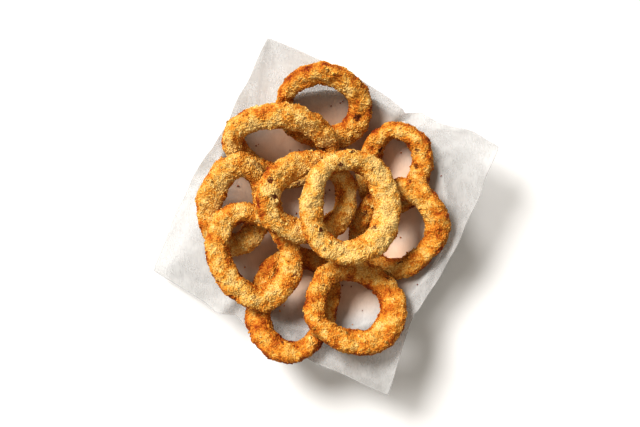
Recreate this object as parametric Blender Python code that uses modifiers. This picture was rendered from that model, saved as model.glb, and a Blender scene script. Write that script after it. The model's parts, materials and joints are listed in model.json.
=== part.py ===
"""Onion rings side: breaded onion rings heaped on a square of greaseproof paper in a shallow bowl.

Metres, +Z up. The origin is on the table under the middle of the bowl.
The rings are laid one after another, and each comes to rest on the paper and the rings below it.
"""

import math
from typing import NamedTuple

import bmesh
import bpy
import numpy as np
from mathutils import Matrix, Vector
from mathutils.bvhtree import BVHTree

MM = 0.001

# Bowl: a plain shallow turned dish, hidden under the paper from above.
RIM_RADIUS = 84 * MM
RIM_HEIGHT = 26 * MM
RIM_ROUND = 2.2 * MM
FLOOR_RADIUS = 44 * MM
FLOOR_HEIGHT = 6 * MM
WALL_POWER = 1.5
WALL_THICKNESS = 4 * MM
FOOT_RADIUS = 45 * MM
FOOT_HEIGHT = 3 * MM
FOOT_FLARE = 1 * MM
OUTER_STEP = 1.5 * MM
BOWL_STEPS = 32

# Paper: one square sheet, cut 200 mm a side, pressed into the bowl with its corners over the rim.
PAPER_THICKNESS = 0.6 * MM
PAPER_GAP = 0.9 * MM
PAPER_RADII = [r * MM for r in (24, 44, 54, 63, 71, 78)]
FLAP_SHARES = (0.16, 0.5, 1.0)
FLAP_CURL = 1.2


class Edge(NamedTuple):
    """Where a corner, or the pleat between two, ends, in degrees and mm, and how the edge goes on to the next."""

    angle: float
    reach: float
    height: float
    bulge: float  # how far out of a straight line that stretch bends
    steps: int


# Corner and pleat by turns.
PAPER_EDGE = (
    Edge(20.7, 126, 45, 5, 3),
    Edge(51.6, 87.5, 31, 6, 6),
    Edge(108.9, 127, 42, -1, 5),
    Edge(151.7, 91.5, 33, 4, 5),
    Edge(198.7, 130, 12, 1, 3),
    Edge(226.1, 100, 29, 2, 7),
    Edge(288.4, 134, 42, -1, 3),
    Edge(310.7, 93.5, 33, 5, 8),
)
BULGE_POWER = 0.6


class Ring(NamedTuple):
    """One breaded ring, in mm and degrees. Its side towards lean_to is raised and towards heavy_to thick."""

    x: float
    y: float
    length: float
    width: float
    turn: float
    band: float
    height: float
    lean: float
    lean_to: float
    heavy_to: float
    egg: float
    square: float


# In the order they are laid, from the bottom of the heap to the top.
RINGS = (
    Ring(-23, -64, 88, 65, 76, 15.5, 13.5, 24, 253, 200, 0.00, 0.02),
    Ring(47, 31, 69, 54, 70, 15.5, 13.5, 22, 37, 260, 0.03, 0.03),
    Ring(-4, 74, 70, 64, -20, 15.5, 13.5, 30, 88, 0, 0.02, 0.01),
    Ring(-31, 46, 82, 66, -10, 16.0, 16.0, 46, 88, 90, -0.02, -0.02),
    Ring(-63, 3, 74, 55, 84, 16.5, 14.0, 22, 132, 150, 0.05, -0.02),
    Ring(-50, -30, 78, 65, -62, 16.5, 14.0, 16, 195, 245, -0.02, 0.00),
    Ring(49, -13, 78, 66, 46, 15.5, 14.0, 22, 40, 60, 0.03, 0.03),
    Ring(18, -65, 73, 69, -18, 16.5, 14.5, 20, 235, 315, 0.02, 0.03),
    Ring(-12, 10, 77, 65, 4, 16.5, 15.0, 18, 185, 180, -0.02, 0.01),
    Ring(15, 3, 81, 71, 88, 16.5, 14.5, 16, 212, 315, 0.02, 0.01),
)
RING_STEPS = 30
SECTION_STEPS = 12
RING_CONE = math.radians(7)
SECTION_SQUARENESS = 0.82
UNEVEN_ROUND = 0.018
UNEVEN_BAND = 0.06
HEAVY_SIDE = 0.14
WARP = 1.1 * MM
GOLDEN_ANGLE = math.pi * (3 - math.sqrt(5))

# How a ring comes to rest.
REST_GAP = 0.4 * MM
CELL = 1.25 * MM
FIELD = 140 * MM
LEAN_GIVE = math.radians(12)
LEAN_STEPS = [math.radians(step) for step in (4, 2, 1, 0.5)]
LEAN_WAYS = [(x, y) for x in (-1, 0, 1) for y in (-1, 0, 1) if (x, y) != (0, 0)]

COLLECTION = "onion_rings_side"
CRUST_BROWN = (0.52, 0.22, 0.04)
CRUST_GOLD = (0.76, 0.42, 0.11)


def material(name, colour, roughness):
    """A plain Principled material; colour is linear RGB."""
    made = bpy.data.materials.new(name)
    made.use_nodes = True
    shader = made.node_tree.nodes["Principled BSDF"]
    shader.inputs["Base Color"].default_value = (*colour, 1)
    shader.inputs["Roughness"].default_value = roughness
    return made


def add_object(name, mesh, finish, collection):
    mesh.materials.append(finish)
    mesh.shade_smooth()
    made = bpy.data.objects.new(name, mesh)
    collection.objects.link(made)
    return made


def wall_height(radius):
    """The height of the bowl's inner surface at this distance from its axis."""
    share = max(0.0, radius - FLOOR_RADIUS) / (RIM_RADIUS - FLOOR_RADIUS)
    return FLOOR_HEIGHT + (RIM_HEIGHT - FLOOR_HEIGHT) * share**WALL_POWER


def wall_slope(radius):
    share = max(0.0, radius - FLOOR_RADIUS) / (RIM_RADIUS - FLOOR_RADIUS)
    depth = RIM_HEIGHT - FLOOR_HEIGHT
    return depth * WALL_POWER * share ** (WALL_POWER - 1) / (RIM_RADIUS - FLOOR_RADIUS)


def make_bowl(collection):
    """A profile from the middle of the floor, up the inside, over the rim and down to the foot, turned."""
    inner_edge = RIM_RADIUS - RIM_ROUND
    inside = [(0.0, FLOOR_HEIGHT), (FLOOR_RADIUS, FLOOR_HEIGHT)]
    inside += [(r, wall_height(r)) for r in np.linspace(FLOOR_RADIUS, inner_edge, 6)[1:]]
    rim_centre = (RIM_RADIUS, RIM_HEIGHT - RIM_ROUND)
    rim = []
    for angle in (math.radians(a) for a in (120, 75, 30, -20)):
        rim.append(
            (rim_centre[0] + RIM_ROUND * math.cos(angle), rim_centre[1] + RIM_ROUND * math.sin(angle))
        )
    outside = []
    for r in np.linspace(RIM_RADIUS, FOOT_RADIUS, 5)[1:-1]:
        lowered = wall_height(r) - WALL_THICKNESS * math.hypot(1, wall_slope(r))
        outside.append((r + OUTER_STEP, lowered))
    foot = [(FOOT_RADIUS + FOOT_FLARE, FOOT_HEIGHT), (FOOT_RADIUS, 0.0), (0.0, 0.0)]
    profile = inside + rim + outside + foot
    mesh = bpy.data.meshes.new("bowl")
    edges = [(i, i + 1) for i in range(len(profile) - 1)]
    mesh.from_pydata([(r, 0, z) for r, z in profile], edges, [])
    finish = material("glazed_white", (0.82, 0.81, 0.79), 0.25)
    bowl = add_object("bowl", mesh, finish, collection)
    screw = bowl.modifiers.new("turn", "SCREW")
    screw.steps = BOWL_STEPS
    screw.render_steps = BOWL_STEPS
    screw.use_merge_vertices = True
    screw.merge_threshold = 0.0001
    return bowl


def paper_edge():
    """Points round the sheet's edge as directions, reaches and heights, from corner to pleat to corner."""
    found = []
    for start, end in zip(PAPER_EDGE, PAPER_EDGE[1:] + PAPER_EDGE[:1]):
        span = math.radians((end.angle - start.angle) % 360)
        for step in range(start.steps):
            along = span * step / start.steps
            # The line between two points at known distances, in polar form.
            reach = start.reach * end.reach * math.sin(span)
            reach /= start.reach * math.sin(along) + end.reach * math.sin(span - along)
            reach += start.bulge * math.sin(math.pi * step / start.steps) ** BULGE_POWER
            share = math.sin(math.pi / 2 * step / start.steps) ** 2
            height = start.height + (end.height - start.height) * share
            found.append((math.radians(start.angle) + along, reach * MM, height * MM))
    return found


def paper_ring(radius, edge):
    """One round of points of the sheet inside the bowl, just clear of its wall."""
    clear = (PAPER_GAP + PAPER_THICKNESS) * math.hypot(1, wall_slope(radius))
    z = wall_height(radius) + clear
    return [(radius * math.cos(angle), radius * math.sin(angle), z) for angle, _, _ in edge]


def flap_ring(share, edge):
    """One round of points outside the rim, this share of the way from the rim to the sheet's edge."""
    crest = RIM_HEIGHT + PAPER_GAP + PAPER_THICKNESS
    points = []
    for angle, reach, height in edge:
        radius = RIM_RADIUS + (reach - RIM_RADIUS) * share
        z = crest + (height - crest) * share**FLAP_CURL
        points.append((radius * math.cos(angle), radius * math.sin(angle), z))
    return points


def make_paper(collection):
    """Rounds of points from the middle out, lofted from the bowl's round floor to the square edge."""
    edge = paper_edge()
    rounds = [paper_ring(radius, edge) for radius in PAPER_RADII]
    rounds += [flap_ring(share, edge) for share in (0.0, *FLAP_SHARES)]
    shape = bmesh.new()
    middle = shape.verts.new((0, 0, FLOOR_HEIGHT + PAPER_GAP + PAPER_THICKNESS))
    loops = [[shape.verts.new(point) for point in points] for points in rounds]
    for i in range(len(edge)):
        after = (i + 1) % len(edge)
        shape.faces.new((middle, loops[0][i], loops[0][after]))
        for inner, outer in zip(loops, loops[1:]):
            shape.faces.new((inner[i], outer[i], outer[after], inner[after]))
    mesh = bpy.data.meshes.new("paper_liner")
    shape.to_mesh(mesh)
    shape.free()
    paper = add_object("paper_liner", mesh, material("paper", (0.72, 0.70, 0.67), 0.8), collection)
    wall = paper.modifiers.new("thickness", "SOLIDIFY")
    wall.thickness = PAPER_THICKNESS
    wall.offset = -1
    return paper


def signed_power(value, power):
    return np.sign(value) * np.abs(value) ** power


def ring_shape(ring, number):
    """An uneven oval ring about its own middle, lying flat, and its faces. It starts as a torus."""
    bpy.ops.mesh.primitive_torus_add(
        major_segments=RING_STEPS, minor_segments=SECTION_STEPS, major_radius=1, minor_radius=0.25
    )
    torus = bpy.context.object
    mesh = torus.data
    points = np.array([vertex.co for vertex in mesh.vertices])
    faces = [tuple(face.vertices) for face in mesh.polygons]
    bpy.data.objects.remove(torus)
    bpy.data.meshes.remove(mesh)

    around = np.arctan2(points[:, 1], points[:, 0])
    section = np.arctan2(points[:, 2], np.hypot(points[:, 0], points[:, 1]) - 1)
    phase = number * GOLDEN_ANGLE
    long_axis = (ring.length - ring.band) / 2 * MM
    short_axis = (ring.width - ring.band) / 2 * MM
    uneven = (
        1
        + ring.egg * np.cos(around)
        + ring.square * np.cos(4 * around + math.pi)
        + UNEVEN_ROUND * np.cos(3 * around + phase)
        + 0.5 * UNEVEN_ROUND * np.cos(5 * around - 2 * phase)
    )
    across = np.stack([np.cos(around) / long_axis, np.sin(around) / short_axis], axis=1)
    across /= np.linalg.norm(across, axis=1, keepdims=True)
    heavy = HEAVY_SIDE * np.cos(around - math.radians(ring.heavy_to - ring.turn))
    thick = 1 + heavy + UNEVEN_BAND * (np.cos(2 * around + 3 * phase) + 0.6 * np.cos(5 * around + phase))
    tall = 1 + UNEVEN_BAND * (0.6 * np.cos(3 * around - phase) + 0.5 * np.cos(4 * around + 2 * phase))
    outwards = ring.band / 2 * MM * thick * signed_power(np.cos(section), SECTION_SQUARENESS)
    upwards = ring.height / 2 * MM * tall * signed_power(np.sin(section), SECTION_SQUARENESS)
    outwards += math.tan(RING_CONE) * upwards
    shaped = np.empty_like(points)
    shaped[:, 0] = long_axis * uneven * np.cos(around) + across[:, 0] * outwards
    shaped[:, 1] = short_axis * uneven * np.sin(around) + across[:, 1] * outwards
    shaped[:, 2] = upwards + WARP * np.cos(2 * around + phase)
    return shaped, faces


def posed(points, ring, lean):
    """The ring's points turned and leaned, over its place, at no height yet. lean is a rotation vector."""
    turn = Matrix.Rotation(math.radians(ring.turn), 3, "Z")
    if lean.length > 0:
        turn = Matrix.Rotation(lean.length, 3, lean.normalized()) @ turn
    return points @ np.array(turn).T + np.array([ring.x, ring.y, 0]) * MM


def cells_over(points):
    """The cells of the field that lie under these points, as an array of index pairs."""
    low = np.floor((points[:, :2].min(axis=0) + FIELD) / CELL).astype(int)
    high = np.ceil((points[:, :2].max(axis=0) + FIELD) / CELL).astype(int) + 1
    return [(i, j) for i in range(low[0], high[0]) for j in range(low[1], high[1])]


def surface_heights(points, faces, cells, direction):
    """The height of a shape over each cell, seen from below (direction 1) or from above (-1)."""
    tree = BVHTree.FromPolygons([tuple(point) for point in points], faces)
    ray = Vector((0, 0, direction))
    found = np.full(len(cells), np.nan)
    for index, (i, j) in enumerate(cells):
        start = Vector((i * CELL - FIELD, j * CELL - FIELD, -direction))
        hit = tree.ray_cast(start, ray)[0]
        if hit is not None:
            found[index] = hit.z
    return found


def drop_height(points, faces, heap):
    """How high this shape must be lifted to lie on the heap, with the resting gap."""
    cells = cells_over(points)
    under = surface_heights(points, faces, cells, 1)
    rows, columns = np.array(cells).T
    return np.nanmax(heap[rows, columns] - under) + REST_GAP


def come_to_rest(points, faces, ring, heap):
    """The ring leans a little more or less than it was laid, to wherever it lies lowest."""
    towards = math.radians(ring.lean_to)
    laid = Vector((math.sin(towards), -math.cos(towards), 0)) * math.radians(ring.lean)
    lean = laid.copy()
    lowest = drop_height(posed(points, ring, lean), faces, heap)
    for step in LEAN_STEPS:
        improved = True
        while improved:
            improved = False
            for way in LEAN_WAYS:
                tried = lean + Vector((*way, 0)) * step
                if (tried - laid).length > LEAN_GIVE:
                    continue
                height = drop_height(posed(points, ring, tried), faces, heap)
                if height < lowest - 1e-6:
                    lean, lowest, improved = tried, height, True
    resting = posed(points, ring, lean)
    resting[:, 2] += lowest
    return resting


def paper_top(paper):
    """The height of the paper over the whole field; where there is none, the table."""
    count = round(2 * FIELD / CELL) + 1
    cells = [(i, j) for i in range(count) for j in range(count)]
    points = [vertex.co for vertex in paper.data.vertices]
    faces = [tuple(face.vertices) for face in paper.data.polygons]
    return np.nan_to_num(surface_heights(points, faces, cells, -1)).reshape(count, count)


def make_rings(collection, heap):
    """Lay the rings from the bottom up; the upper ones are paler."""
    for number, ring in enumerate(RINGS, start=1):
        name = f"onion_ring_{number:02d}"
        points, faces = ring_shape(ring, number)
        resting = come_to_rest(points, faces, ring, heap)
        cells = cells_over(resting)
        rows, columns = np.array(cells).T
        heap[rows, columns] = np.fmax(heap[rows, columns], surface_heights(resting, faces, cells, -1))
        middle = resting.mean(axis=0)
        mesh = bpy.data.meshes.new(name)
        mesh.from_pydata((resting - middle).tolist(), [], faces)
        paleness = (number - 1) / (len(RINGS) - 1)
        colour = [b + (g - b) * paleness for b, g in zip(CRUST_BROWN, CRUST_GOLD)]
        finish = material(f"crust_{number:02d}", colour, 0.75)
        made = add_object(name, mesh, finish, collection)
        made.location = middle


for startup_object in list(bpy.data.objects):
    bpy.data.objects.remove(startup_object)
parts = bpy.data.collections.new(COLLECTION)
bpy.context.scene.collection.children.link(parts)
make_bowl(parts)
liner = make_paper(parts)
make_rings(parts, paper_top(liner))
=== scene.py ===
"""Onion rings side: ten breaded onion rings heaped on greaseproof paper in a shallow bowl.

Metres, +Z up, the origin on the table under the middle of the bowl.
"""

import json
import math

import bmesh
import bpy
import numpy as np
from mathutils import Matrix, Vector, kdtree
from mathutils.bvhtree import BVHTree

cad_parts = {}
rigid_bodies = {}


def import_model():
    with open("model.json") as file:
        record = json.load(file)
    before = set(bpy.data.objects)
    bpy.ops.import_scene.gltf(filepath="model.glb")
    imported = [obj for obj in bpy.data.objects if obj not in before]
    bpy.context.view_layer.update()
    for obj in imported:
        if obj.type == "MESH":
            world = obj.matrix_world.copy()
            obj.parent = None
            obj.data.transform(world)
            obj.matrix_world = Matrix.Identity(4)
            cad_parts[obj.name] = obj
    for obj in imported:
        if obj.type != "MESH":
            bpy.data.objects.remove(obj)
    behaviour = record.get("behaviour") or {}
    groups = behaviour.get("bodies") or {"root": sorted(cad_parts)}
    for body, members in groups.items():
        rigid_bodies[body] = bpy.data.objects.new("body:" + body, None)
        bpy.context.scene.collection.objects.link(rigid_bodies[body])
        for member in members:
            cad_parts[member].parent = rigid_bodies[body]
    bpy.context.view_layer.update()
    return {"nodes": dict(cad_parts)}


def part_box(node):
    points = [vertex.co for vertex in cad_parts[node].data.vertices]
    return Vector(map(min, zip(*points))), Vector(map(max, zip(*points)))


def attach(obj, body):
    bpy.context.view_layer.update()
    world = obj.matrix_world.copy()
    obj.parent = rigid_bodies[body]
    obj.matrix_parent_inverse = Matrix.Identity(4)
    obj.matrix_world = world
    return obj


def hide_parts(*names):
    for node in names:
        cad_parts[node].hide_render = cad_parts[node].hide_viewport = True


# ---------------------------------------------------------------------------------------------
# The imported heap: the fixed frame that every piece is made round.
# ---------------------------------------------------------------------------------------------
for startup_object in list(bpy.data.objects):
    bpy.data.objects.remove(startup_object)
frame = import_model()

# ---------------------------------------------------------------------------------------------
# Studio: a wide white table, one soft lamp high on the left behind the heap, warm pale
# surroundings and a camera straight above. Node trees are written through its three classes:
# arithmetic on a Socket adds Math nodes, and any other node comes from Tree.node.
# ---------------------------------------------------------------------------------------------
MM = 0.001
LAMP_FROM = Vector((-0.50, 0.48, 0.72))
LAMP_ANGLE = math.radians(24)
LAMP_STRENGTH = 4.6
LAMP_COLOUR = (1.0, 0.99, 0.98)
SKY_COLOUR = (1.0, 0.93, 0.83, 1)
SKY_LOW = 0.20
SKY_RISE = 0.62
VIEW_GAMMA = 0.8
CAMERA_PLACE = (-4.9 * MM, -1.05 * MM, 1.1)
CAMERA_LENS = 85.98
CAMERA_SENSOR = 36
TABLE_SIDE = 4.0
TABLE_PATCH = 0.4
TABLE_DULL = (0.79, 0.79, 0.79)
TABLE_CLEAN = (0.81, 0.81, 0.81)


class Socket:
    """One output of a node. Arithmetic between it and numbers or other outputs adds Math nodes."""

    def __init__(self, tree, source):
        self.tree = tree
        self.source = source

    def maths(self, operation, first, second):
        return self.tree.node("ShaderNodeMath", {"operation": operation}, {0: first, 1: second})

    def __add__(self, other):
        return self.maths("ADD", self, other)

    def __radd__(self, other):
        return self.maths("ADD", other, self)

    def __sub__(self, other):
        return self.maths("SUBTRACT", self, other)

    def __rsub__(self, other):
        return self.maths("SUBTRACT", other, self)

    def __mul__(self, other):
        return self.maths("MULTIPLY", self, other)

    def __rmul__(self, other):
        return self.maths("MULTIPLY", other, self)

    def clamped(self):
        return self.tree.node("ShaderNodeClamp", {}, {0: self})


class Tree:
    """A node tree being written."""

    def __init__(self, tree):
        self.tree = tree

    def node(self, kind, settings, sockets, output=0):
        """Adds a node, its settings first, then its sockets' values or links. Returns an output."""
        made = self.tree.nodes.new(kind)
        for setting, value in settings.items():
            if setting == "stops":
                self.set_stops(made.color_ramp, value)
            else:
                setattr(made, setting, value)
        for socket, value in sockets.items():
            for item in value if isinstance(value, list) else [value]:
                if isinstance(item, Socket):
                    self.tree.links.new(item.source, made.inputs[socket])
                else:
                    made.inputs[socket].default_value = item
        return Socket(self, made.outputs[output] if len(made.outputs) else None)

    def set_stops(self, ramp, stops):
        while len(ramp.elements) < len(stops):
            ramp.elements.new(1.0)
        for element, (position, colour) in zip(ramp.elements, stops):
            element.position = position
            element.color = (*colour, 1)

    def noise(self, where, size, detail=2.0, roughness=0.5):
        """Soft noise from 0 to 1, with features of about this size."""
        sockets = {"Vector": where, "Scale": 1 / size, "Detail": detail, "Roughness": roughness}
        return self.node("ShaderNodeTexNoise", {}, sockets)

    def stored(self, geometry, name, value):
        """The geometry with a number kept at each of its points."""
        sockets = {"Geometry": geometry, "Name": name, "Value": value}
        return self.node("GeometryNodeStoreNamedAttribute", {}, sockets)

    def cells(self, where, size, output=0):
        """Distance to the nearest of many points about this far apart, in units of size.

        With output 1, a random shade for each point's cell.
        """
        return self.node("ShaderNodeTexVoronoi", {}, {"Vector": where, "Scale": 1 / size}, output)

    def pushes(self, sockets):
        """Random vectors, as often one way as the other, from a noise with these sockets."""
        noise = self.node("ShaderNodeTexNoise", {}, sockets, 1)
        middle = {0: noise, 1: (0.5, 0.5, 0.5)}
        return self.node("ShaderNodeVectorMath", {"operation": "SUBTRACT"}, middle)

    def scaled(self, vector, factor):
        sockets = {0: vector, "Scale": factor}
        return self.node("ShaderNodeVectorMath", {"operation": "SCALE"}, sockets)


class Finish(Tree):
    """A Principled finish, with its Object coordinates."""

    # The Mix node's places for colours: its two inputs, and its result.
    MIX_FIRST, MIX_SECOND, MIX_RESULT = 6, 7, 2

    def __init__(self, name, constants):
        self.material = bpy.data.materials.new(name)
        self.material.use_nodes = True
        super().__init__(self.material.node_tree)
        self.shader = self.tree.nodes["Principled BSDF"]
        for socket, value in constants.items():
            self.shader.inputs[socket].default_value = value
        self.where = self.node("ShaderNodeTexCoord", {}, {}, "Object")

    def moved(self, size, distance):
        """The Object coordinates, pushed about by noise of this size."""
        push = self.pushes({"Vector": self.where, "Scale": 1 / size})
        sockets = {0: push, 1: (distance,) * 3, 2: self.where}
        return self.node("ShaderNodeVectorMath", {"operation": "MULTIPLY_ADD"}, sockets)

    def attribute(self, name):
        return self.node("ShaderNodeAttribute", {"attribute_name": name}, {}, "Fac")

    def ramp(self, factor, stops):
        return self.node("ShaderNodeValToRGB", {"stops": stops}, {0: factor})

    def mix(self, factor, first, second, blend="MIX"):
        """Two colours mixed by factor. A colour is a socket or three numbers."""
        sockets = {0: factor}
        for place, colour in ((self.MIX_FIRST, first), (self.MIX_SECOND, second)):
            sockets[place] = colour if isinstance(colour, Socket) else (*colour, 1)
        settings = {"data_type": "RGBA", "blend_type": blend}
        return self.node("ShaderNodeMix", settings, sockets, self.MIX_RESULT)

    def feed(self, socket, value):
        self.tree.links.new(value.source, self.shader.inputs[socket])

    def bump(self, height, distance):
        sockets = {"Strength": 1.0, "Distance": distance, "Height": height}
        self.feed("Normal", self.node("ShaderNodeBump", {}, sockets, "Normal"))


def placed(name, data):
    """A new object in the scene that holds this mesh, lamp or lens."""
    made = bpy.data.objects.new(name, data)
    bpy.context.scene.collection.objects.link(made)
    return made


bpy.context.scene.view_settings.view_transform = "Standard"
bpy.context.scene.view_settings.gamma = VIEW_GAMMA
surroundings = bpy.data.worlds.new("studio")
surroundings.use_nodes = True
bpy.context.scene.world = surroundings
sky = Tree(surroundings.node_tree)
upwards = sky.node("ShaderNodeTexCoord", {}, {}, "Generated")
upwards = sky.node("ShaderNodeSeparateXYZ", {}, {0: upwards}, "Z").clamped()
backdrop = surroundings.node_tree.nodes["Background"]
backdrop.inputs["Color"].default_value = SKY_COLOUR
overhead = upwards * upwards * upwards
sky.tree.links.new((SKY_LOW + SKY_RISE * overhead).source, backdrop.inputs["Strength"])

lamp = bpy.data.lights.new("key_lamp", "SUN")
lamp.angle = LAMP_ANGLE
lamp.energy = LAMP_STRENGTH
lamp.color = LAMP_COLOUR
placed("key_lamp", lamp).rotation_euler = LAMP_FROM.to_track_quat("Z", "Y").to_euler()

lens = bpy.data.cameras.new("camera")
lens.lens = CAMERA_LENS
lens.sensor_width = CAMERA_SENSOR
camera = placed("camera", lens)
camera.location = CAMERA_PLACE
bpy.context.scene.camera = camera

bpy.ops.mesh.primitive_plane_add(size=TABLE_SIDE)
table = bpy.context.object
table.name = "table"
table_finish = Finish("table_white", {"Roughness": 0.9, "Specular IOR Level": 0.1})
cloud = table_finish.noise(table_finish.where, TABLE_PATCH)
table_finish.feed("Base Color", table_finish.mix(cloud, TABLE_DULL, TABLE_CLEAN))
table.data.materials.append(table_finish.material)

# ---------------------------------------------------------------------------------------------
# Bowl: a plain turned dish with a white glaze. It hides under the paper, so it keeps its
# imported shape, and its glaze has only faint speckles and a slightly uneven surface.
# ---------------------------------------------------------------------------------------------
GLAZE_WHITE = (0.87, 0.86, 0.84)
SPECKLE_BROWN = (0.42, 0.37, 0.30)
SPECKLE_SPACING = 5 * MM
SPECKLE_SHARE = 0.09
SPECKLE_EDGE = 20.0
GLAZE_CLOUD = 18 * MM
GLAZE_RIPPLE = 9 * MM
GLAZE_RIPPLE_HEIGHT = 0.12 * MM
SHARP_EDGE = math.radians(40)
MERGE_WITHIN = 0.01 * MM
PAIR_FLATNESS = math.radians(40)
PAIR_SKEW = math.radians(60)


def packed_mesh(node, name, quads=False):
    """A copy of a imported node's mesh with its loose triangles merged, and paired if wanted."""
    solid = bmesh.new()
    solid.from_mesh(frame["nodes"][node].data)
    bmesh.ops.remove_doubles(solid, verts=solid.verts, dist=MERGE_WITHIN)
    if quads:
        bmesh.ops.join_triangles(
            solid,
            faces=solid.faces,
            angle_face_threshold=PAIR_FLATNESS,
            angle_shape_threshold=PAIR_SKEW,
        )
    mesh = bpy.data.meshes.new(name)
    solid.to_mesh(mesh)
    solid.free()
    return mesh


glaze = Finish("glaze", {"Coat Weight": 0.4, "Coat Roughness": 0.08})
speckle = glaze.cells(glaze.where, SPECKLE_SPACING)
speckle = (SPECKLE_EDGE * (SPECKLE_SHARE - speckle)).clamped()
glaze.feed("Base Color", glaze.mix(speckle, GLAZE_WHITE, SPECKLE_BROWN))
glaze.feed("Roughness", 0.16 + 0.16 * glaze.noise(glaze.where, GLAZE_CLOUD))
glaze.bump(glaze.noise(glaze.where, GLAZE_RIPPLE), GLAZE_RIPPLE_HEIGHT)
bowl_mesh = packed_mesh("bowl", "glazed_bowl")
bowl_mesh.materials.clear()
bowl_mesh.materials.append(glaze.material)
bowl_mesh.shade_smooth()
bowl_mesh.set_sharp_from_angle(angle=SHARP_EDGE)
bowl = placed("glazed_bowl", bowl_mesh)
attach(bowl, "root")
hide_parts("bowl")

# ---------------------------------------------------------------------------------------------
# Paper liner: one square of thin greaseproof paper, pushed down into the bowl. Its four corners
# stand out over the rim, it gathers in a pleat between each two, and it keeps the faint lines
# it was folded along in the pack.
# ---------------------------------------------------------------------------------------------
# The bowl that it is pressed into: the top of the rim, the flat of the well, and how the wall
# between them curves. Then how far clear of it the sheet lies, and how thick it is.
RIM_INSET = 2.1 * MM
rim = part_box("bowl")[1]
RIM_RADIUS = rim.x - RIM_INSET
RIM_HEIGHT = rim.z
WELL_RADIUS = 44 * MM
WELL_HEIGHT = 6 * MM
WALL_POWER = 1.5
PAPER_CLEAR = 1.5 * MM
PAPER_THICKNESS = 0.25 * MM
# Corner and pleat by turns: direction in degrees, reach, height and bulge to the next, in mm.
PAPER_EDGE = (
    (20.7, 126, 45, 5),
    (51.6, 87.5, 31, 6),
    (108.9, 127, 42, -1),
    (151.7, 91.5, 33, 4),
    (198.7, 130, 12, 1),
    (226.1, 100, 29, 2),
    (288.4, 134, 42, -1),
    (310.7, 93.5, 33, 5),
)
BULGE_POWER = 0.6
FLAP_CURL = 1.2
# How far apart points stand round the edge, in degrees, and how it ripples.
EDGE_STEP = 1.2
EDGE_RIPPLE = 0.4 * MM
EDGE_RIPPLE_LENGTH = 32 * MM
EDGE_RIPPLE_COUNT = 6
# Small swells and dips of the edge: direction and width in degrees, rise in mm.
EDGE_SWELLS = (
    (46.5, 2.5, 2.0),
    (37.0, 4.0, -2.2),
    (28.5, 3.0, 1.6),
    (222.0, 3.0, 2.2),
    (229.0, 2.5, -2.5),
)
# Pleats: direction in degrees, depth in mm and width in degrees. They grow from inside the rim.
PLEATS = ((51.6, 3.4, 4.0), (151.7, 2.6, 5.0), (226.1, -3.5, 4.0), (310.7, 2.4, 4.5))
PLEAT_PEAK = 1.6
PLEAT_FROM = 0.7
PLEAT_OVER = 0.4
# Fine gathers up the wall, as many waves round the sheet, and where they start.
GATHER_RISE = 0.4 * MM
GATHER_LENGTH = 0.17
GATHER_COUNT = 12
GATHER_FROM = 55 * MM
GATHER_OVER = 28 * MM
# Crossing waves of the sheet: length, number, and height in mm, pressed and added where free.
FREE_FROM = 0.93
FREE_OVER = 25 * MM
SWELL = (60 * MM, 8, 0.10, 0.9)
CRUMPLES = ((26 * MM, 9, 0.08, 0.40), (9 * MM, 12, 0.04, 0.16))
CRUMPLE_LEVEL = 0.8
# Sharp creases across the flaps: direction in degrees and reach in mm of each end, rise in mm.
CREASES = (
    (42.0, 88, 29.0, 116, 0.8),
    (33.0, 90, 23.0, 121, -0.6),
    (352.0, 92, 14.0, 118, 0.6),
    (96.0, 88, 108.0, 126, -0.6),
    (124.0, 90, 111.0, 124, 0.7),
    (168.0, 92, 194.0, 124, 0.6),
    (212.0, 96, 200.0, 129, -0.7),
    (268.0, 96, 286.0, 128, 0.7),
    (299.0, 92, 290.0, 131, -0.8),
    (309.0, 84, 295.0, 124, 0.8),
)
CREASE_WIDTH = 2.4 * MM
FOLD_SPACING = 34 * MM
FOLD_RISE = 0.16 * MM
FOLD_WIDTH = 1.6 * MM
WELL_ROUNDS = 58
FLAP_ROUNDS = 30
# Its look: grey and see-through where free; painted whiter on the bowl, for light the white bowl
# sends back through it; and oil-stained near the rings, painted warmer and brighter there for the
# light that the fried rings throw onto it.
GREASE_AND_BOUNCE_SPREAD = 40 * MM
BACKED_OVER = 22 * MM
FIBRE_TURN = math.radians(65)
FIBRE_STRETCH = 4
FIBRE_SIZE = 1.0 * MM
STREAK_SIZE = 4 * MM
CLOUD_SIZE = 14 * MM
FIBRE_HEIGHT = 0.09 * MM
THIN_GREY = (0.47, 0.47, 0.465)
THICK_GREY = (0.68, 0.68, 0.675)
BACKED_BOUNCE_WHITE = (0.92, 0.91, 0.89)
OIL_AND_BOUNCE_BUFF = (0.97, 0.73, 0.54)
FREE_OPACITY = 0.36
BACKED_OPACITY = 0.45
paper_chance = np.random.default_rng(11)


def paper_outline():
    """Direction, reach and height of points round the sheet's edge, as three arrays."""
    found = []
    for start, end in zip(PAPER_EDGE, PAPER_EDGE[1:] + PAPER_EDGE[:1]):
        span = math.radians((end[0] - start[0]) % 360)
        steps = round(math.degrees(span) / EDGE_STEP)
        for step in range(steps):
            along = span * step / steps
            reach = start[1] * end[1] * math.sin(span)
            reach /= start[1] * math.sin(along) + end[1] * math.sin(span - along)
            reach += start[3] * math.sin(math.pi * step / steps) ** BULGE_POWER
            share = math.sin(math.pi / 2 * step / steps) ** 2
            height = start[2] + (end[2] - start[2]) * share
            found.append((math.radians(start[0]) + along, reach * MM, height * MM))
    return np.array(found).T


def waves(across, up, length, count):
    """A smooth random height, about -1 to 1, of crossing waves of about this length."""
    total = np.zeros_like(across)
    for _ in range(count):
        turn = paper_chance.uniform(0, math.tau)
        pitch = math.tau / (length * paper_chance.uniform(0.7, 1.4))
        phase = paper_chance.uniform(0, math.tau)
        total += np.cos(pitch * (across * math.cos(turn) + up * math.sin(turn)) + phase)
    return total / math.sqrt(count)


def risen(value, start, over):
    """0 up to start, then a straight rise to 1 over this much more."""
    return np.clip((value - start) / over, 0, 1)


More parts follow.
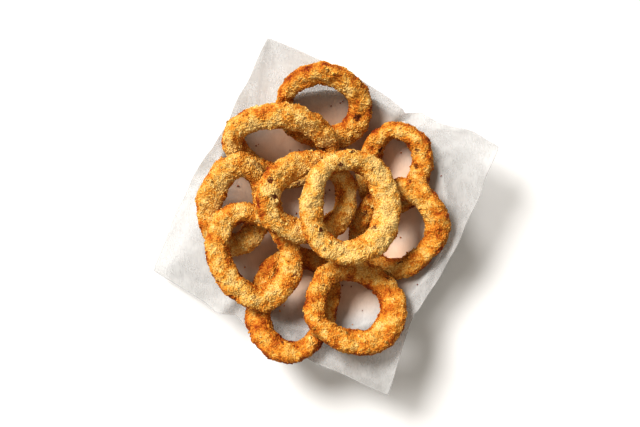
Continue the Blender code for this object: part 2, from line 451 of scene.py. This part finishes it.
def in_plan(angle, reach):
    """The place at this direction in degrees and this reach in mm."""
    return reach * MM * np.array([math.cos(math.radians(angle)), math.sin(math.radians(angle))])


def off_line(x, y, start, end):
    """How far each place is from the straight line between two others."""
    run = end - start
    share = np.clip(((x - start[0]) * run[0] + (y - start[1]) * run[1]) / (run @ run), 0, 1)
    return np.hypot(x - start[0] - share * run[0], y - start[1] - share * run[1])


def paper_points():
    """Rounds of points from the middle of the sheet to its edge, as an array of rounds."""
    turn, reach, height = paper_outline()
    edge = (reach * np.cos(turn), reach * np.sin(turn))
    reach = reach + EDGE_RIPPLE * waves(*edge, EDGE_RIPPLE_LENGTH, EDGE_RIPPLE_COUNT)
    for angle, width, rise in EDGE_SWELLS:
        reach = reach + rise * MM * np.exp(-(((np.degrees(turn) - angle) / width) ** 2))
    well = np.linspace(0, 1, WELL_ROUNDS + 1)[1:, None] * RIM_RADIUS
    share = np.linspace(0, 1, FLAP_ROUNDS + 1)[1:, None]
    radius = np.concatenate([well * np.ones_like(turn), RIM_RADIUS + (reach - RIM_RADIUS) * share])
    up_wall = risen(radius, WELL_RADIUS, RIM_RADIUS - WELL_RADIUS)
    slope = WALL_POWER * up_wall**0.5 * (RIM_HEIGHT - WELL_HEIGHT) / (RIM_RADIUS - WELL_RADIUS)
    z = WELL_HEIGHT + (RIM_HEIGHT - WELL_HEIGHT) * up_wall**WALL_POWER
    z += PAPER_CLEAR * np.hypot(1, np.where(radius < RIM_RADIUS, slope, 0))
    z[WELL_ROUNDS:] += (height - RIM_HEIGHT - PAPER_CLEAR) * share**FLAP_CURL

    flat_x = radius * np.cos(turn)
    flat_y = radius * np.sin(turn)
    pleated = risen(radius, RIM_RADIUS * PLEAT_FROM, RIM_RADIUS * PLEAT_OVER)
    for angle, depth, width in PLEATS:
        off = (np.degrees(turn) - angle + 180) % 360 - 180
        z += depth * MM * pleated * (off / width) * np.exp(-((off / width) ** 2)) * PLEAT_PEAK
    gathered = risen(radius, GATHER_FROM, GATHER_OVER)
    gathers = np.abs(waves(np.cos(turn), np.sin(turn), GATHER_LENGTH, GATHER_COUNT))
    z += GATHER_RISE * gathered * (CRUMPLE_LEVEL - gathers)

    free = risen(radius, RIM_RADIUS * FREE_FROM, FREE_OVER)
    length, count, pressed_rise, free_rise = SWELL
    z += (pressed_rise + free_rise * free) * MM * waves(flat_x, flat_y, length, count)
    for length, count, pressed_rise, free_rise in CRUMPLES:
        valleys = np.abs(waves(flat_x, flat_y, length, count))
        z += (pressed_rise + free_rise * free) * MM * (CRUMPLE_LEVEL - valleys)
    for start_angle, start_reach, end_angle, end_reach, rise in CREASES:
        ends = (in_plan(start_angle, start_reach), in_plan(end_angle, end_reach))
        z += rise * MM * np.exp(-off_line(flat_x, flat_y, *ends) / CREASE_WIDTH)
    side = math.radians(PAPER_EDGE[0][0] - 45)
    for first, second in ((flat_x, flat_y), (flat_y, -flat_x)):
        line = first * math.cos(side) + second * math.sin(side)
        from_fold = np.abs((line / FOLD_SPACING) % 1 - 0.5) * FOLD_SPACING
        z += FOLD_RISE * np.exp(-from_fold / FOLD_WIDTH)
    return np.stack([flat_x, flat_y, z], axis=2)


rounds = paper_points()
around = rounds.shape[1]
middle = (0, 0, rounds[0, :, 2].mean())
points = [middle, *map(tuple, rounds.reshape(-1, 3))]
faces = [(0, 1 + i, 1 + (i + 1) % around) for i in range(around)]
for level in range(rounds.shape[0] - 1):
    inner = 1 + level * around
    for i in range(around):
        after = (i + 1) % around
        faces.append((inner + i, inner + around + i, inner + around + after, inner + after))
sheet_mesh = bpy.data.meshes.new("greaseproof_sheet")
sheet_mesh.from_pydata(points, [], faces)
sheet_mesh.shade_smooth()
paper = placed("greaseproof_sheet", sheet_mesh)
thickened = paper.modifiers.new("thickness", "SOLIDIFY")
thickened.thickness = PAPER_THICKNESS
thickened.offset = -1

ring_nodes = sorted(name for name in frame["nodes"] if name.startswith("onion_ring_"))
fried = [vertex.co for name in ring_nodes for vertex in frame["nodes"][name].data.vertices]
nearby = kdtree.KDTree(len(fried))
for place in fried:
    nearby.insert(place, 0)
nearby.balance()
# How near each point is to the rings: where the oil stain and the painted bounce light go.
grease = sheet_mesh.attributes.new("grease", "FLOAT", "POINT")
soaked = [math.exp(-nearby.find(point)[2] / GREASE_AND_BOUNCE_SPREAD) for point in points]
on_bowl = np.clip((RIM_RADIUS - np.hypot(*np.array(points).T[:2])) / BACKED_OVER, 0, 1)
grease.data.foreach_set("value", soaked * on_bowl)
backed = sheet_mesh.attributes.new("backed", "FLOAT", "POINT")
backed.data.foreach_set("value", on_bowl)

waxed = Finish("greaseproof", {"Specular IOR Level": 0.3})
along_fibres = waxed.node(
    "ShaderNodeMapping",
    {},
    {
        "Vector": waxed.where,
        "Rotation": (0, 0, -FIBRE_TURN),
        "Scale": (1, 1 / FIBRE_STRETCH, 1),
    },
)
fibres = waxed.noise(along_fibres, FIBRE_SIZE, 3.0, 0.6)
streaks = waxed.noise(along_fibres, STREAK_SIZE)
cloudy = waxed.noise(waxed.where, CLOUD_SIZE)
blotches = (0.5 + 1.2 * (cloudy - 0.5) + 0.7 * (streaks - 0.5) + 0.5 * (fibres - 0.5)).clamped()
backing = waxed.attribute("backed")
sheet_colour = waxed.mix(blotches, THIN_GREY, THICK_GREY)
# Painted light: the sheet is painted whiter where it lies on the white bowl, for the light the bowl
# sends back through it.
sheet_colour = waxed.mix(backing, sheet_colour, BACKED_BOUNCE_WHITE)
# Oil stain near the rings, partly painted light: a warm, bright colour for light bouncing off the
# rings into the shaded well.
oil_and_bounce = (1.3 * waxed.attribute("grease") - 0.25 * cloudy).clamped()
waxed.feed("Base Color", waxed.mix(oil_and_bounce, sheet_colour, OIL_AND_BOUNCE_BUFF))
waxed.feed("Roughness", 0.4 + 0.25 * streaks)
opaque = FREE_OPACITY + BACKED_OPACITY * backing + 0.16 * (streaks - 0.5)
waxed.feed("Alpha", opaque + 0.08 * (fibres - 0.5) + 0.25 * (cloudy - 0.5))
waxed.bump(fibres + 2.0 * streaks, FIBRE_HEIGHT)
sheet_mesh.materials.append(waxed.material)
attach(paper, "root")
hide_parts("paper_liner")

# ---------------------------------------------------------------------------------------------
# Onion rings: slices of onion in a thick crust of breadcrumbs, fried golden. Each is its packed
# solid made round and lumpy and covered with a crumb relief, with single crumbs and coarser
# clumps of them standing on it.
# ---------------------------------------------------------------------------------------------
# The crust's shape: lumps, grain, and what stands on them.
ROUNDING = 3
LUMPS = 8 * MM
LUMP_HEIGHT = 4.5 * MM
GRAIN = 1.4 * MM
GRAIN_HEIGHT = 1.0 * MM
CRUMB_SIZE = 1.05 * MM
CRUMB_DETAIL = 1
CRUMBS_PER_M2 = 460000
CLUMP_SIZE = 2.6 * MM
CLUMP_DETAIL = 2
CLUMPS_PER_M2 = 3500
CLUMP_SEED = 40
# A crumb's least and greatest length, width and height, in sizes, and how broken it is.
CRUMB_LEAST = (0.5, 0.5, 0.4)
CRUMB_MOST = (1.4, 1.1, 0.9)
BREAK_SIZE = 0.7 * MM
BREAK_SHARE = 0.8
# Its look: how brown each ring is, in laying order; how much browner its walls are than its flat
# faces, partly browning and partly painted shade; the tone of its crumbs, and the darker tone of
# the crust between them, which is painted shade; and the colours from pale straw to dark brown.
RING_TOAST = (0.60, 0.47, 0.46, 0.26, 0.31, 0.39, 0.47, 0.49, 0.33, 0.24)
SIDES_TOAST_AND_SHADE = 0.42
GAP_SHADE_TONE = 0.6
CRUMB_TONES = (-0.3, 0.8)
# The crumbs count as raised in the relief, so they are painted paler, like lit tops.
CRUMB_RELIEF = 0.5
CRUST_COLOURS = (
    (0.00, (0.91, 0.67, 0.275)),
    (0.25, (0.865, 0.53, 0.130)),
    (0.48, (0.765, 0.340, 0.038)),
    (0.75, (0.55, 0.160, 0.010)),
    (1.00, (0.30, 0.047, 0.002)),
)
# The colour that the hollows are multiplied by: painted shade in the gaps.
HOLLOW_SHADE_BROWN = (0.60, 0.42, 0.24)
BURNT_BROWN = (0.17, 0.040, 0.005)
PATCHES = 9 * MM
MOTTLE = 2.6 * MM
GRANULE = 1.1 * MM
GRANULE_HEIGHT = 0.6 * MM
# The granules' and burnt flecks' outlines are pushed about by noise of this size, this far.
GRANULE_PUSH = (0.8 * MM, 0.4 * MM)
BURNT_PUSH = (2.2 * MM, 4.0 * MM)
# A burnt fleck reaches from none to BURNT_REACH - BURNT_LOSS of their spacing.
BURNT_SPACING = 11 * MM
BURNT_REACH = 0.60
BURNT_LOSS = 0.25
BURNT_EDGE = 11.0


def crust_finish():
    """Pale straw crumbs with gold, orange and brown between them, painted shade in the gaps, and a
    few dark toasted flecks.
    """
    crust = Finish("crust", {"Specular IOR Level": 0.3})
    warped = crust.moved(*GRANULE_PUSH)
    granules = crust.cells(warped, GRANULE)
    shades = crust.cells(warped, GRANULE, 1)
    patches = crust.noise(crust.where, PATCHES)
    mottle = crust.noise(crust.where, MOTTLE, 2.0, 0.6)
    tone = crust.attribute("tone")
    # Browning with painted light and shade: low places of the relief come out browner, raised ones
    # and crumbs paler.
    browning_and_shade = crust.attribute("toast") + 0.25 * (tone - 0.5)
    browning_and_shade = browning_and_shade + 1.8 * (patches - 0.5) + 0.7 * (mottle - 0.5)
    browning_and_shade = browning_and_shade + 0.15 * (granules - 0.42) - 0.2 * crust.attribute("relief")
    colour = crust.ramp(browning_and_shade.clamped(), CRUST_COLOURS)
    # Painted shade: the gaps between granules and the crust between the crumbs are multiplied
    # darker.
    hollow_shade = 1.1 * (granules - 0.3) + 0.7 * (tone - 0.5) + 0.35 * (shades - 0.5)
    colour = crust.mix(hollow_shade.clamped(), colour, HOLLOW_SHADE_BROWN, "MULTIPLY")
    torn = crust.moved(*BURNT_PUSH)
    burnt = BURNT_REACH * crust.cells(torn, BURNT_SPACING, 1) - BURNT_LOSS
    burnt = burnt - crust.cells(torn, BURNT_SPACING)
    burnt = burnt * BURNT_EDGE + 1.6 * (granules - 0.55)
    crust.feed("Base Color", crust.mix(burnt.clamped(), colour, BURNT_BROWN))
    crust.feed("Roughness", 0.55 + 0.3 * mottle)
    crust.bump(0.0 - granules, GRANULE_HEIGHT)
    return crust.material


def crumbs_at(tree, points, size, detail=CRUMB_DETAIL):
    """A broken, turned crumb of its own tone at each point, as one mesh."""
    crumb = tree.node("GeometryNodeMeshIcoSphere", {}, {"Radius": 0.5, "Subdivisions": detail})
    random = {"data_type": "FLOAT_VECTOR"}
    turned = tree.node("FunctionNodeRandomValue", random, {0: (0, 0, 0), 1: (math.tau,) * 3})
    sized = tree.node("FunctionNodeRandomValue", random, {0: CRUMB_LEAST, 1: CRUMB_MOST})
    sized = tree.scaled(sized, size)
    sockets = {"Points": points, "Instance": crumb, "Rotation": turned, "Scale": sized}
    crumbs = tree.node("GeometryNodeInstanceOnPoints", {}, sockets)
    palest, darkest = CRUMB_TONES
    random = {"data_type": "FLOAT"}
    tone = tree.node("FunctionNodeRandomValue", random, {2: palest, 3: darkest}, 1)
    sockets = {"Geometry": crumbs, "Name": "tone", "Value": tone}
    crumbs = tree.node("GeometryNodeStoreNamedAttribute", {"domain": "INSTANCE"}, sockets)
    crumbs = tree.node("GeometryNodeRealizeInstances", {}, {"Geometry": crumbs})
    broken = tree.scaled(tree.pushes({"Scale": 1 / BREAK_SIZE, "Detail": 0.0}), BREAK_SHARE * size)
    crumbs = tree.node("GeometryNodeSetPosition", {}, {"Geometry": crumbs, "Offset": broken})
    return tree.stored(crumbs, "relief", CRUMB_RELIEF)


def scattered(tree, surface, density, seed):
    """Points spread at random over a surface, so many to a square metre."""
    sockets = {"Mesh": surface, "Density": density, "Seed": seed}
    return tree.node("GeometryNodeDistributePointsOnFaces", {}, sockets)


def group_with(name, inputs):
    """A new Geometry Nodes group with these inputs: the Tree that writes it, and their sockets."""
    group = bpy.data.node_groups.new(name, "GeometryNodeTree")
    group.interface.new_socket("Geometry", in_out="OUTPUT", socket_type="NodeSocketGeometry")
    kinds = {"Geometry": "Geometry", **inputs, "Finish": "Material"}
    for label, kind in kinds.items():
        group.interface.new_socket(label, in_out="INPUT", socket_type="NodeSocket" + kind)
    entry = group.nodes.new("NodeGroupInput")
    tree = Tree(group)
    return tree, {label: Socket(tree, entry.outputs[label]) for label in kinds}


def finished(tree, given, geometry):
    """Ends a group: the geometry made real, with the finish given."""
    whole = tree.node("GeometryNodeRealizeInstances", {}, {"Geometry": geometry})
    sockets = {"Geometry": whole, "Material": given["Finish"]}
    whole = tree.node("GeometryNodeSetMaterial", {}, sockets)
    tree.node("NodeGroupOutput", {}, {"Geometry": whole})
    return tree.tree


def crust_tree():
    """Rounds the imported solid, raises lumps and crumb relief, and scatters crumbs and clumps."""
    inputs = {
        "Lump Height": "Float",
        "Grain Height": "Float",
        "Crumb Size": "Float",
        "Crumb Density": "Float",
        "Clump Size": "Float",
        "Clump Density": "Float",
        "Toast": "Float",
        "Axis": "Vector",
        "Seed": "Int",
    }
    tree, given = group_with("breaded_crust", inputs)
    sockets = {"Mesh": given["Geometry"], "Level": ROUNDING}
    rounded = tree.node("GeometryNodeSubdivisionSurface", {}, sockets)
    place = tree.node("GeometryNodeInputPosition", {}, {})
    outwards = tree.node("GeometryNodeInputNormal", {}, {})
    sockets = {0: outwards, 1: given["Axis"]}
    facing = tree.node("ShaderNodeVectorMath", {"operation": "DOT_PRODUCT"}, sockets, 1)
    facing = tree.node("ShaderNodeMath", {"operation": "ABSOLUTE"}, {0: facing})
    # Walls get more toast and flat faces less: partly real browning, partly painted shade on the
    # walls.
    surface = tree.stored(rounded, "toast", given["Toast"] + SIDES_TOAST_AND_SHADE * (0.7 - facing))
    clods = 0.5 - tree.cells(place, GRAIN)
    relief = clods + 1.2 * (tree.noise(place, GRAIN * 0.6, 2.0, 0.6) - 0.5)
    surface = tree.stored(surface, "relief", relief)
    # The crust between the crumbs gets a darker tone than the crumbs: painted shade between them.
    surface = tree.stored(surface, "tone", GAP_SHADE_TONE)
    lumps = tree.noise(place, LUMPS, 1.0) - 0.5
    height = given["Lump Height"] * lumps + given["Grain Height"] * relief
    sockets = {"Geometry": surface, "Offset": tree.scaled(outwards, height)}
    surface = tree.node("GeometryNodeSetPosition", {}, sockets)
    on_crust = scattered(tree, surface, given["Crumb Density"], given["Seed"])
    crumbs = crumbs_at(tree, on_crust, given["Crumb Size"])
    on_crust = scattered(tree, surface, given["Clump Density"], given["Seed"] + CLUMP_SEED)
    clumps = crumbs_at(tree, on_crust, given["Clump Size"], CLUMP_DETAIL)
    whole = tree.node("GeometryNodeJoinGeometry", {}, {"Geometry": [surface, crumbs, clumps]})
    return finished(tree, given, whole)


def loose_tree():
    """A crumb at each point of the mesh given."""
    tree, given = group_with("loose_crumbs", {"Crumb Size": "Float", "Toast": "Float"})
    crumbs = crumbs_at(tree, given["Geometry"], given["Crumb Size"])
    return finished(tree, given, tree.stored(crumbs, "toast", given["Toast"]))


def applied(cage, name, group, values):
    """The cage, shaped by a Geometry Nodes group, as a plain mesh that wears the one finish."""
    modifier = cage.modifiers.new("shape", "NODES")
    modifier.node_group = group
    for item in group.interface.items_tree:
        if item.name in values:
            modifier[item.identifier] = values[item.name]
    graph = bpy.context.evaluated_depsgraph_get()
    mesh = bpy.data.meshes.new_from_object(cage.evaluated_get(graph))
    cage.modifiers.remove(modifier)
    bpy.data.objects.remove(cage)
    mesh.name = name
    mesh.shade_smooth()
    mesh.materials.clear()
    mesh.materials.append(values["Finish"])
    return placed(name, mesh)


def ring_axis(mesh):
    """The direction that a ring is thinnest along."""
    places = np.array([vertex.co for vertex in mesh.vertices])
    return np.linalg.svd(places - places.mean(axis=0), full_matrices=False)[2][2].tolist()


crust = crust_finish()
breading = crust_tree()
for number, (node, toast) in enumerate(zip(ring_nodes, RING_TOAST), start=1):
    cage_mesh = packed_mesh(node, node + "_cage", quads=True)
    ring_inputs = {
        "Lump Height": LUMP_HEIGHT,
        "Grain Height": GRAIN_HEIGHT,
        "Crumb Size": CRUMB_SIZE,
        "Crumb Density": CRUMBS_PER_M2,
        "Clump Size": CLUMP_SIZE,
        "Clump Density": CLUMPS_PER_M2,
        "Toast": toast,
        "Axis": ring_axis(cage_mesh),
        "Seed": number,
        "Finish": crust,
    }
    cage = placed(node + "_cage", cage_mesh)
    crusted = applied(cage, f"crusted_ring_{number:02d}", breading, ring_inputs)
    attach(crusted, "root")
    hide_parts(node)

# ---------------------------------------------------------------------------------------------
# Loose crumbs: broken bits of fried crust that fell from the rings and lie on the paper, most
# of them in the well between the rings. They are well browned, each of its own tone.
# ---------------------------------------------------------------------------------------------
LOOSE_CRUMBS = 150
LOOSE_REACH = 84 * MM
LOOSE_SPREAD = 0.6
LOOSE_SIZE = 1.4 * MM
LOOSE_TOAST = 1.05
LOOSE_CLEAR = 1.5 * MM
LOOSE_LIFT = Vector((0, 0, 0.35 * MM))
DROP_HEIGHT = 100 * MM
sheet_tree = BVHTree.FromPolygons([Vector(point) for point in points], faces)
ring_trees = []
for name in ring_nodes:
    mesh = frame["nodes"][name].data
    corners = [tuple(polygon.vertices) for polygon in mesh.polygons]
    ring_trees.append(BVHTree.FromPolygons([vertex.co for vertex in mesh.vertices], corners))
crumb_chance = np.random.default_rng(5)
lying = []
while len(lying) < LOOSE_CRUMBS:
    turn = crumb_chance.uniform(0, math.tau)
    out = LOOSE_REACH * crumb_chance.uniform(0, 1) ** LOOSE_SPREAD
    above = Vector((out * math.cos(turn), out * math.sin(turn), DROP_HEIGHT))
    landed = sheet_tree.ray_cast(above, (0, 0, -1))[0] + LOOSE_LIFT
    if min(ring.find_nearest(landed)[3] for ring in ring_trees) > LOOSE_CLEAR:
        lying.append(landed)
crumb_points = bpy.data.meshes.new("loose_crumb_points")
crumb_points.from_pydata(lying, [], [])
seeds = placed("loose_crumb_points", crumb_points)
loose_inputs = {"Crumb Size": LOOSE_SIZE, "Toast": LOOSE_TOAST, "Finish": crust}
loose = applied(seeds, "loose_crumbs", loose_tree(), loose_inputs)
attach(loose, "root")
